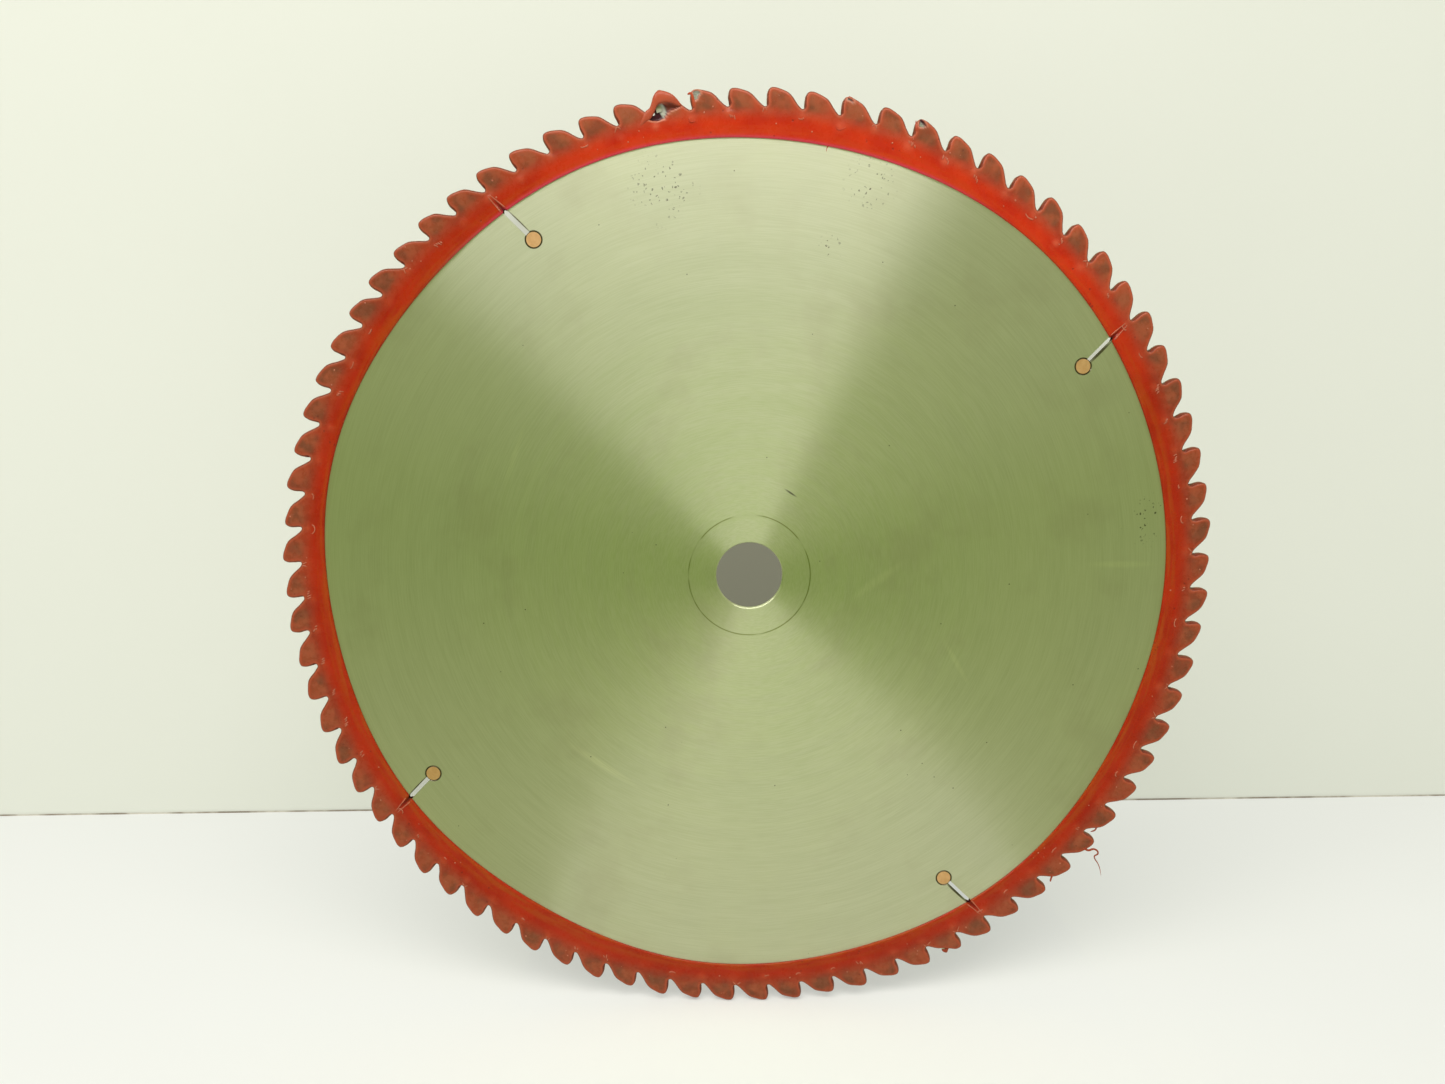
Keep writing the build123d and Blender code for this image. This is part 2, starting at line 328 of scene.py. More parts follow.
def coat_fields(place, rng):
    """The coat's half thickness at each point away from its edges, and marks for the look: how much it
    lies over a tooth, in a pool under a gullet, or in the crease under a tooth."""
    angle = np.arctan2(place[..., 1], place[..., 0])
    radius = np.hypot(place[..., 0], place[..., 1])
    tooth_turn = (np.degrees(angle) - FIRST_TOOTH) / PITCH
    behind = np.ceil(tooth_turn - 0.12)
    along = np.radians((tooth_turn - behind) * PITCH) * radius
    tooth = (behind % TOOTH_COUNT).astype(int)
    pitch_length = radians(PITCH) * radius

    swell = rng.uniform(0.7, 1.3, TOOTH_COUNT)[tooth]
    depth = rng.uniform(0.1, 0.42, TOOTH_COUNT)
    shift = rng.normal(0.6, 0.45, TOOTH_COUNT)
    level = rng.uniform(164.9, 167.4, TOOTH_COUNT)
    width = rng.uniform(1.2, 1.9, TOOTH_COUNT)
    on_tooth = smooth(168.4, 170.6, radius)
    over_tip = smooth(-4.2, -2.6, along) * smooth(0.6, -0.3, along) * smooth(169.3, 170.6, radius)
    belly = np.exp(-((along + 4.2) / 3.2) ** 2 - ((radius - 172) / 2.6) ** 2)
    crease = np.exp(-((radius - 168.4) / 1.0) ** 2) * smooth(-10, -7, along) * smooth(0.5, -1.5, along)
    pooled = depth[tooth] * pool(along, radius, shift[tooth], level[tooth], width[tooth])
    before = tooth - 1
    pooled += depth[before] * pool(along + pitch_length, radius, shift[before], level[before], width[before])

    half = 1.98 + ripple(place, rng, 5, 9.0, 0.035) + ripple(place, rng, 5, 30.0, 0.05)
    half = half - 0.1 * np.exp(-((radius - 163.2) / 1.6) ** 2) + 0.05 * on_tooth
    half = half + swell * (0.24 * over_tip + 0.2 * belly - 0.14 * crease) + pooled
    core = smooth(165.9, 169.6, radius) * smooth(-10.5, -7.0, along) * smooth(1.4, -1.2, along)
    core = np.clip(core * (0.85 + 0.3 * belly), 0, 1)
    return half, {"core": core, "pool": np.clip(pooled / 0.42, 0, 1), "crease": crease}


def coat_grid(rng):
    """Rows of points from the lip out to the outline, on the front, with the cavity's rows under them.
    Every array is (row, column)."""
    curve = spline(tooth_points(rng))
    columns = len(curve) // TOOTH_COUNT
    outline = flat_place(curve[:, 0], curve[:, 1])
    length = np.linalg.norm(np.roll(outline, -1, 0) - outline, axis=1)
    travelled = np.concatenate([[0], np.cumsum(length)[:-1]]).reshape(TOOTH_COUNT, columns)
    share = (travelled - travelled[:, :1]) / length.reshape(TOOTH_COUNT, columns).sum(1)[:, None]
    first = curve[:, 0].reshape(TOOTH_COUNT, columns)[:, :1]
    base_angle = (first + share * radians(PITCH)).reshape(-1)
    base = flat_place(base_angle, BASE_RADIUS)

    rows = [lerp(outline, base, part) for part in TOOTH_ROWS]
    lip = inner_radius(base_angle)
    notch = slot_depth(flat_place(base_angle, lip))
    lip = lip + 1.1 * notch
    band_end = lip + LIP_ROWS[0][0] + 0.9
    rows += [flat_place(base_angle, lerp(BASE_RADIUS, band_end, part)) for part in BAND_ROWS]
    rows += [flat_place(base_angle, lip + out) for out, _ in LIP_ROWS]
    front = np.stack(rows)

    tangent = np.roll(outline, -1, 0) - np.roll(outline, 1, 0)
    tangent = tangent / np.linalg.norm(tangent, axis=1)[:, None]
    inward = np.stack([-tangent[:, 1], tangent[:, 0]], 1)
    steel = outline + SKIN * inward
    cavity = [flat_place(base_angle, lip + 0.02), flat_place(base_angle, lerp(lip, BASE_RADIUS, 0.5)), base]
    cavity += [lerp(base, steel, part) for part in CAVITY_ROWS] + [steel]
    return outline, front, np.stack(cavity), columns


def side_shape(place, near, seed):
    """The coat's half thickness on one side of the blade, before its tears, and its marks."""
    half, marks = coat_fields(place, np.random.default_rng(seed))
    rounding = np.clip(near / EDGE_ROUND, 0, 1)
    half = half * (1 - (1 - rounding) ** EDGE_POWER) ** (1 / EDGE_POWER)
    lip_rows = len(LIP_ROWS)
    lift = np.array([lift for _, lift in LIP_ROWS])[:, None] / LIP_TOP
    half[-lip_rows:] = HALF_PLATE + lift * (half[-lip_rows:] - HALF_PLATE)
    return lerp(half, np.minimum(half, SUNK_HALF), slot_depth(place)), side_marks(place, near, marks)


def side_marks(place, near, marks):
    """Adds the marks that go by the coat's edges: rim of the outline, inner lip, and sunk slot."""
    lip = np.zeros(near.shape)
    lip[-len(LIP_MARKS):] = np.array(LIP_MARKS)[:, None]
    radius = np.hypot(place[..., 0], place[..., 1])
    edges = {
        "core": marks["core"] * smooth(0.7, 2.1, near),
        "rim": smooth(1.8, 0.65, near),
        "lip": lip,
        "sunk": slot_depth(place) * smooth(167, 160, radius),
    }
    return marks | edges


def coat_cavity(place):
    """The cavity's half thickness: it follows the plate and the wider tips, and drops under the slots."""
    radius = np.hypot(place[..., 0], place[..., 1])
    half = lerp(HALF_PLATE + 0.02, 0.4, slot_depth(place))
    return np.minimum(half + (TIP_HALF_WIDTH - HALF_PLATE) * 0.8 * smooth(169.5, 171, radius), 1.62)


def coat_mesh():
    outline, front, cavity, columns = coat_grid(np.random.default_rng(SEED))
    tooth_rows = len(TOOTH_ROWS)
    near = np.full(front.shape[:2], FAR_INSIDE)
    near[:tooth_rows + 1] = edge_distance(front[:tooth_rows + 1], outline, columns)

    half, front_marks = side_shape(front, near, FRONT_SEED)
    half, torn_marks = torn_floor(front, half)
    for label in ("core", "rim"):
        front_marks[label] = front_marks[label] * (1 - torn_marks["torn"])
    front_marks.update(torn_marks)

    kept = [row for row in range(len(front)) if row % 2 == 0 or row >= tooth_rows]
    back = front[kept]
    back_half, back_marks = side_shape(back, near[kept], BACK_SEED)

    cavity_half = coat_cavity(cavity)
    hidden_half = lerp(cavity_half, HIDDEN_HALF, by_tear(cavity))
    sheets = [
        (front[::-1], -half[::-1]),
        (outline[None], np.zeros((1, len(outline)))),
        (back, back_half),
        (cavity, cavity_half),
        (cavity[::-1], -hidden_half[::-1]),
    ]
    place = np.concatenate([sheet for sheet, _ in sheets])
    across = np.concatenate([depth for _, depth in sheets])

    attributes = {}
    blank = np.zeros(cavity_half.shape)
    for label, values in front_marks.items():
        edge = np.full((1, len(outline)), float(label == "rim"))
        hidden = blank + float(label == "sunk")
        other = back_marks.get(label, np.zeros(back_half.shape))
        attributes[label] = np.concatenate([values[::-1], edge, other, hidden, hidden]).reshape(-1)
    points = np.stack([place[..., 0], across, place[..., 1]], -1).reshape(-1, 3) * MM
    return points, len(place), len(outline), attributes


def closed_grid(name, points, rows, columns, attributes):
    """A ring of rows that closes on itself both ways."""
    row, column = np.meshgrid(np.arange(rows), np.arange(columns), indexing="ij")
    next_row, next_column = (row + 1) % rows, (column + 1) % columns
    corners = [row * columns + column, row * columns + next_column,
               next_row * columns + next_column, next_row * columns + column]
    faces = np.stack(corners, -1).reshape(-1, 4)
    mesh = bpy.data.meshes.new(name)
    mesh.from_pydata(points.tolist(), [], faces.tolist())
    for label, values in attributes.items():
        mesh.attributes.new(label, "FLOAT", "POINT").data.foreach_set("value", values.astype(np.float32))
    mesh.shade_smooth()
    mesh.update()
    piece = bpy.data.objects.new(name, mesh)
    bpy.context.collection.objects.link(piece)
    return piece


def open_curve(points, steps=5):
    """A Catmull-Rom curve through a few points, ends included."""
    points = np.array(points, float)
    padded = np.vstack([2 * points[:1] - points[1:2], points, 2 * points[-1:] - points[-2:-1]])
    curve = []
    for before, start, end, after in zip(padded, padded[1:], padded[2:], padded[3:]):
        for step in range(steps):
            part = step / steps
            cubic = (3 * (start - end) + after - before) * part
            curve.append(start + 0.5 * part * (end - before + (2 * before - 5 * start + 4 * end - after + cubic) * part))
    return np.array(curve + [points[-1]])


def swept(stations):
    """Points and faces of a closed body through stations, each a centre and two half axes."""
    turns = np.linspace(0, 2 * pi, FOLD_SIDES, endpoint=False)[:, None]
    points = np.concatenate([centre + np.cos(turns) * first + np.sin(turns) * second
                             for centre, first, second in stations])
    faces = [tuple(reversed(range(FOLD_SIDES))), tuple(range(len(points) - FOLD_SIDES, len(points)))]
    for ring in range(0, len(points) - FOLD_SIDES, FOLD_SIDES):
        for side in range(FOLD_SIDES):
            low, high = ring + side, ring + (side + 1) % FOLD_SIDES
            faces.append((low, high, high + FOLD_SIDES, low + FOLD_SIDES))
    return points, faces


def tube(path, first_radius, last_radius):
    """A round strand along a path of (x, y, z), rounded off at its ends."""
    along = np.gradient(path, axis=0)
    along = along / np.linalg.norm(along, axis=1)[:, None]
    aside = np.cross(along, (0, 1, 0))
    aside = aside / np.linalg.norm(aside, axis=1)[:, None]
    share = np.linspace(0, 1, len(path))
    radius = lerp(first_radius, last_radius, share) * (1 - (2 * share - 1) ** 10 * 0.9)
    across = np.cross(along, aside)
    return swept(list(zip(path, aside * radius[:, None], across * radius[:, None])))


def gathered(name, bodies, rim, edge):
    """One mesh object from many small bodies, in millimetres, with the same two marks all over."""
    points, faces = [], []
    for body_points, body_faces in bodies:
        faces += [tuple(corner + len(points) for corner in face) for face in body_faces]
        points += (body_points * MM).tolist()
    mesh = bpy.data.meshes.new(name)
    mesh.from_pydata(points, [], faces)
    for label, value in (("rim", rim), ("edge", edge)):
        values = np.full(len(points), value, np.float32)
        mesh.attributes.new(label, "FLOAT", "POINT").data.foreach_set("value", values)
    mesh.shade_smooth()
    mesh.update()
    piece = bpy.data.objects.new(name, mesh)
    bpy.context.collection.objects.link(piece)
    return piece


def strand(tooth, points, first_radius, last_radius):
    places = [tooth_place(tooth, along, radius) for along, radius, _ in points]
    path = open_curve([(x, -height, z) for (x, z), (_, _, height) in zip(places, points)])
    return tube(path, first_radius, last_radius)


def flap():
    """The torn skin that stands up over its tear."""
    stations = []
    for low, high, height, thickness in FLAP:
        ends = [tooth_place(FLAP_TOOTH, *end) for end in (low, high)]
        low_end, high_end = [np.array([x, -height, z]) for x, z in ends]
        middle, reach = (low_end + high_end) / 2, (high_end - low_end) / 2
        stations.append(np.concatenate([middle, reach, [0, thickness / 2, 0]]))
    curve = open_curve(stations)
    return swept([(row[:3], row[3:6], row[6:]) for row in curve])


def on_coat(places):
    """Points on the front of the coat over places in the blade's plane."""
    half, _ = coat_fields(places, np.random.default_rng(FRONT_SEED))
    return np.stack([places[:, 0], -half, places[:, 1]], 1)


def smile(tooth, rng):
    """A curved wrinkle under a gullet."""
    middle_along, middle_radius = rng.normal(0.9, 0.6), rng.normal(166.1, 0.5)
    size, flat = rng.uniform(0.8, 1.8), rng.uniform(0.3, 0.9)
    sweep = np.radians(np.linspace(-rng.uniform(40, 100), rng.uniform(40, 100), 11))
    along = middle_along + size * np.sin(sweep)
    return [tube(on_coat(tooth_place(tooth, along, middle_radius - size * flat * np.cos(sweep))),
                 rng.uniform(0.2, 0.32), rng.uniform(0.12, 0.22))]


def crinkles(tooth, rng):
    """A few short slanted wrinkles side by side."""
    bodies = []
    along, radius = rng.normal(0.6, 0.4), rng.uniform(166.4, 168.0)
    for number in range(rng.integers(2, 5)):
        start = along - 0.8 * number
        slant, length = rng.uniform(0.2, 0.9), rng.uniform(0.9, 1.9)
        places = tooth_place(tooth, np.linspace(start, start - slant, 6), np.linspace(radius, radius - length, 6))
        bodies.append(tube(on_coat(places), rng.uniform(0.2, 0.34), rng.uniform(0.14, 0.24)))
        radius += rng.normal(-0.2, 0.25)
    return bodies


def web_strokes(tooth, rng):
    """Short wrinkles that run up to a gullet."""
    bodies = []
    for side in (-1, 1):
        start, end = rng.normal(1.1, 0.15) + 0.3 * side, rng.normal(1.1, 0.3) + rng.uniform(0.7, 1.8) * side
        top, bottom = rng.uniform(168.4, 169.0), rng.uniform(166.9, 168.0)
        places = tooth_place(tooth, np.linspace(start, end, 7), np.linspace(top, bottom, 7))
        bodies.append(tube(on_coat(places), 0.28, 0.12))
    return bodies


def folds():
    """The wrinkles where the coat gathered, of a different kind or none from gullet to gullet."""
    rng = np.random.default_rng(SEED)
    kinds = [smile, crinkles, web_strokes, None]
    bodies = []
    for tooth in range(TOOTH_COUNT):
        kind = kinds[rng.choice(len(kinds), p=[0.3, 0.25, 0.2, 0.25])]
        if kind and tooth not in PLAIN_GULLETS:
            bodies += kind(tooth, rng)
    return bodies


def blisters():
    """Small bubbles that stand out of the coat."""
    rng = np.random.default_rng(SEED)
    bodies = []
    rise = np.linspace(-0.95, 0.95, 6)
    for _ in range(BLISTER_COUNT):
        place = tooth_place(rng.integers(TOOTH_COUNT), rng.uniform(-8, 0), rng.uniform(161.5, 173.5))
        centre = on_coat(place[None])[0]
        size = rng.uniform(0.16, 0.36)
        width = size * np.sqrt(1 - rise ** 2)
        bodies.append(swept([(centre + (0, -size * 0.7 * step, 0), np.array([wide, 0, 0]), np.array([0, 0, wide]))
                             for step, wide in zip(rise, width)]))
    return bodies


def slot_ridges():
    """The two raised edges of the coat that sagged into each slot."""
    bodies = []
    for number in range(SLOT_COUNT):
        start, end = slot_line(number)
        run = (end - start) / np.linalg.norm(end - start)
        aside = np.array([-run[1], run[0]])
        for side in (-1, 1):
            along = np.linspace(14.5, 21.5, 12)[:, None]
            spread = np.linspace(1.15, 0.45, 12)[:, None] * side
            bodies.append(tube(on_coat(start + along * run + spread * aside), 0.26, 0.14))
    return bodies


# ---------------------------------------------------------------- materials

# The painted shade along a slot's edge, a dark line: how far out and aside from the plug's middle, length and
# width
SLOT_SHADE_OUT = 0.008
SLOT_SHADE_ASIDE = 0.00095
SLOT_SHADE_LENGTH = 0.017
SLOT_SHADE_WIDTH = 0.0011
# Marks on the plate's front: centre, slope in degrees, length and width
MARK_DEPTH = 0.001               # they stay clear of the plate's back
SCRATCH = ((0.0154, -0.00125, 0.0315), -34, 0.0072, 0.0010)
PALE_STREAKS = [
    (0.32, (-0.057, -0.00125, -0.0754), -34, 0.040, 0.004),
    (0.22, (0.049, -0.00125, -0.002), 36, 0.030, 0.005),
    (0.25, (0.142, -0.00125, 0.004), 0, 0.032, 0.004),
    (0.22, (0.080, -0.00125, -0.034), -60, 0.026, 0.003),
    (0.2, (-0.088, -0.00125, 0.045), 70, 0.030, 0.003),
]


class Nodes:
    """Short calls for building a material's or the world's node tree."""

    def __init__(self, owner, keep=False):
        owner.use_nodes = True
        self.tree = owner.node_tree
        if not keep:
            self.tree.nodes.clear()

    def add(self, kind, inputs=None, **settings):
        node = self.tree.nodes.new(kind)
        for key, value in settings.items():
            setattr(node, key, value)
        for key, value in (inputs or {}).items():
            if isinstance(value, bpy.types.NodeSocket):
                self.tree.links.new(value, node.inputs[key])
            else:
                node.inputs[key].default_value = value
        return node

    def math(self, operation, first, second=0.0, clamp=False):
        node = self.add("ShaderNodeMath", {0: first, 1: second}, operation=operation, use_clamp=clamp)
        return node.outputs[0]

    def mix(self, part, first, second, blend="MIX"):
        node = self.add("ShaderNodeMix", data_type="RGBA", blend_type=blend)
        for key, value in ((0, part), (6, first), (7, second)):
            if isinstance(value, bpy.types.NodeSocket):
                self.tree.links.new(value, node.inputs[key])
            else:
                node.inputs[key].default_value = value
        return node.outputs[2]

    def ramp(self, value, low, high, start=0.0, end=1.0):
        """start below low, end above high, smooth between."""
        node = self.add("ShaderNodeMapRange", {0: value, 1: low, 2: high, 3: start, 4: end},
                        interpolation_type="SMOOTHSTEP")
        return node.outputs[0]

    def noise(self, vector, scale, detail=2.0, roughness=0.5):
        inputs = {"Scale": scale, "Detail": detail, "Roughness": roughness}
        if vector is not None:
            inputs["Vector"] = vector
        return self.add("ShaderNodeTexNoise", inputs).outputs["Fac"]

    def attribute(self, name):
        return self.add("ShaderNodeAttribute", attribute_name=name).outputs["Fac"]

    def finish(self, shader):
        self.add("ShaderNodeOutputMaterial", {"Surface": shader})


def rgb(red, green, blue):
    return (red, green, blue, 1.0)


def polar(nodes):
    """Radius from the bore's axis, and the direction round it as a point on a circle."""
    place = nodes.add("ShaderNodeTexCoord").outputs["Object"]
    parts = nodes.add("ShaderNodeSeparateXYZ", {0: place})
    x, y, z = parts.outputs
    radius = nodes.math("SQRT", nodes.math("ADD", nodes.math("MULTIPLY", x, x), nodes.math("MULTIPLY", z, z)))
    safe = nodes.math("MAXIMUM", radius, 0.001)
    return place, radius, nodes.math("DIVIDE", x, safe), nodes.math("DIVIDE", z, safe), y


def ground_rings(nodes, radius, east, north, rings, arc, detail=3.0):
    """Noise drawn out round the blade: rings sets how fine it is across, arc how long its streaks are."""
    vector = nodes.add("ShaderNodeCombineXYZ", {
        0: nodes.math("MULTIPLY", east, arc),
        1: nodes.math("MULTIPLY", north, arc),
        2: nodes.math("MULTIPLY", radius, rings),
    }).outputs[0]
    return nodes.noise(vector, 1.0, detail, 0.6)


def near_plug(nodes, place):
    """Distance to the middle of the nearest slot plug, taken at the plate's front."""
    radius, angle = SLOT_START
    x, _, z = nodes.add("ShaderNodeSeparateXYZ", {0: place}).outputs
    flat = nodes.add("ShaderNodeCombineXYZ", {0: x, 1: 0.0, 2: z}).outputs[0]
    near = None
    for number in range(SLOT_COUNT):
        across, up = flat_place(radians(angle + 360 / SLOT_COUNT * number), radius * MM)
        away = nodes.add("ShaderNodeVectorMath", {0: flat, 1: (across, 0.0, up)}, operation="DISTANCE")
        away = away.outputs["Value"]
        near = away if near is None else nodes.math("MINIMUM", near, away)
    return near


def spot_patch(nodes, place, centre, size, dots, reach):
    """Small dark pits scattered over one patch of the plate."""
    away = nodes.add("ShaderNodeVectorMath", {0: place, 1: centre}, operation="DISTANCE").outputs["Value"]
    shift = nodes.add("ShaderNodeTexNoise", {"Vector": place, "Scale": 1.7 * dots}).outputs["Color"]
    uneven = nodes.add("ShaderNodeVectorMath", {0: shift, 1: (0.0016,) * 3, 2: place}, operation="MULTIPLY_ADD")
    cells = nodes.add("ShaderNodeTexVoronoi", {"Vector": uneven.outputs[0], "Scale": dots, "Randomness": 1.0})
    pit = nodes.ramp(cells.outputs["Distance"], reach, reach * 0.45)
    pick = nodes.math("GREATER_THAN", nodes.noise(place, dots * 0.35, 1.0), 0.46)
    patch = nodes.ramp(away, size, size * 0.3)
    return nodes.math("MULTIPLY", nodes.math("MULTIPLY", pit, patch), pick)


def streak(nodes, place, centre, slope, length, width, depth=MARK_DEPTH):
    """A soft stroke on the plate's front: 1 along its middle, 0 outside its length, width and depth."""
    inputs = {"Vector": place, "Location": centre, "Rotation": (0, -radians(slope), 0),
              "Scale": (length / 2, depth, width / 2)}
    moved = nodes.add("ShaderNodeMapping", inputs, vector_type="TEXTURE").outputs[0]
    away = nodes.add("ShaderNodeVectorMath", {0: moved}, operation="LENGTH").outputs["Value"]
    return nodes.ramp(away, 1.0, 0.2)


def slot_shade(nodes, place, number):
    """Painted shade: a dark line along the clockwise edge of one slot."""
    start, end = [point * MM for point in slot_line(number)]
    run = (end - start) / np.linalg.norm(end - start)
    x, z = start + SLOT_SHADE_OUT * run + SLOT_SHADE_ASIDE * np.array([run[1], -run[0]])
    slope = np.degrees(np.arctan2(run[1], run[0]))
    return streak(nodes, place, (x, -HALF_PLATE * MM, z), slope, SLOT_SHADE_LENGTH, SLOT_SHADE_WIDTH, 2 * SLOT_SHADE_LENGTH)


def ground_steel():
    material = bpy.data.materials.new("ground_steel")
    nodes = Nodes(material)
    place, radius, east, north, _ = polar(nodes)
    broad = ground_rings(nodes, radius, east, north, 260.0, 1.6)
    fine = ground_rings(nodes, radius, east, north, 2600.0, 9.0)
    cloud = nodes.noise(place, 14.0, 3.0, 0.55)

    # Olive towards the middle, greyer outward: a painted reflection tint for the olive room that the steel mirrors
    tone = nodes.mix(nodes.ramp(radius, 0.015, 0.155), rgb(0.62, 0.69, 0.46), rgb(0.68, 0.69, 0.61))
    tone = nodes.mix(nodes.ramp(broad, 0.3, 0.7, 0.0, 0.3), tone, rgb(0.56, 0.59, 0.46))
    tone = nodes.mix(nodes.ramp(cloud, 0.35, 0.75, 0.0, 0.3), tone, rgb(0.74, 0.76, 0.58))
    tone = nodes.mix(nodes.ramp(fine, 0.35, 0.65, 0.0, 0.3), tone, rgb(0.82, 0.83, 0.76))
    tone = nodes.mix(nodes.ramp(nodes.noise(place, 26.0, 4.0, 0.6), 0.5, 0.72, 0.0, 0.35), tone,
                     rgb(0.56, 0.54, 0.46))
    for strength, *shape in PALE_STREAKS:
        mark = nodes.math("MULTIPLY", streak(nodes, place, *shape), nodes.ramp(fine, 0.3, 0.6, 0.5 * strength, strength))
        tone = nodes.mix(mark, tone, rgb(0.98, 0.99, 0.80))

    # Faint worn ring left by an arbor flange
    ring_wave = nodes.noise(place, 60.0, 2.0)
    off_ring = nodes.math("ABSOLUTE", nodes.math("SUBTRACT", radius, 0.0232))
    ring = nodes.ramp(off_ring, 0.00034, 0.00008)
    broken = nodes.ramp(ring_wave, 0.36, 0.52)
    tone = nodes.mix(nodes.math("MULTIPLY", nodes.math("MULTIPLY", ring, broken), 0.75), tone,
                     rgb(0.23, 0.27, 0.06))

    pits = spot_patch(nodes, place, (-0.032, -0.00125, 0.141), 0.016, 620.0, 0.29)
    for centre, size in (((0.043, -0.00125, 0.143), 0.012), ((0.151, -0.00125, 0.021), 0.012),
                         ((0.029, -0.00125, 0.121), 0.006)):
        pits = nodes.math("MAXIMUM", pits, spot_patch(nodes, place, centre, size, 620.0, 0.29))
    cells = nodes.add("ShaderNodeTexVoronoi", {"Vector": place, "Scale": 150.0, "Randomness": 1.0})
    stray = nodes.ramp(cells.outputs["Distance"], 0.05, 0.02)
    chosen = nodes.math("GREATER_THAN", nodes.noise(place, 55.0, 1.0), 0.56)
    pits = nodes.math("MAXIMUM", pits, nodes.math("MULTIPLY", stray, chosen))
    pits = nodes.math("MAXIMUM", pits, streak(nodes, place, *SCRATCH))
    tone = nodes.mix(nodes.math("MULTIPLY", pits, 0.85), tone, rgb(0.10, 0.10, 0.07))

    # Painted shade: a dark ring on the plate round each plug, and a dark line along each slot's clockwise edge
    plug_and_slot_shade = nodes.ramp(near_plug(nodes, place), 0.0034, 0.0031, 0.0, 0.95)
    for number in range(SLOT_COUNT):
        plug_and_slot_shade = nodes.math("MAXIMUM", plug_and_slot_shade, slot_shade(nodes, place, number))
    tone = nodes.mix(plug_and_slot_shade, tone, rgb(0.10, 0.085, 0.05))

    rough = nodes.math("ADD", nodes.ramp(broad, 0.25, 0.75, 0.30, 0.33), nodes.ramp(radius, 0.02, 0.13, 0.02, 0.0))
    rough = nodes.math("ADD", rough, nodes.math("MULTIPLY", pits, 0.3))
    bump = nodes.add("ShaderNodeBump", {"Height": fine, "Strength": 0.05, "Distance": 0.0001})
    tangent = nodes.add("ShaderNodeTangent", direction_type="RADIAL", axis="Y")
    shader = nodes.add("ShaderNodeBsdfPrincipled", {
        "Base Color": tone,
        "Metallic": 1.0,
        "Roughness": rough,
        "Anisotropic": 0.95,
        "Anisotropic Rotation": 0.25,
        "Tangent": tangent.outputs[0],
        "Normal": bump.outputs[0],
    })
    nodes.finish(shader.outputs[0])
    return material


def plain_metal(name, light, dark, roughness, scale, shaded_rim=False):
    """A cut or cast metal with cloudy tone and a fine grain. The plug's copper can also get painted shade, a dark
    ring round its own edge.
    """
    material = bpy.data.materials.new(name)
    nodes = Nodes(material)
    place = nodes.add("ShaderNodeTexCoord").outputs["Object"]
    cloud = nodes.noise(place, scale, 4.0, 0.6)
    grain = nodes.noise(place, scale * 14, 2.0, 0.6)
    tone = nodes.mix(nodes.ramp(cloud, 0.3, 0.7), dark, light)
    if shaded_rim:
        # Painted shade: a dark ring round the plug's edge
        tone = nodes.mix(nodes.ramp(near_plug(nodes, place), 0.0026, 0.0028), tone, rgb(0.09, 0.07, 0.04))
    rough = nodes.ramp(grain, 0.3, 0.7, roughness - 0.05, roughness + 0.08)
    bump = nodes.add("ShaderNodeBump", {"Height": grain, "Strength": 0.15, "Distance": 0.0001})
    shader = nodes.add("ShaderNodeBsdfPrincipled", {
        "Base Color": tone,
        "Metallic": 1.0,
        "Roughness": rough,
        "Normal": bump.outputs[0],
    })
    nodes.finish(shader.outputs[0])
    return material


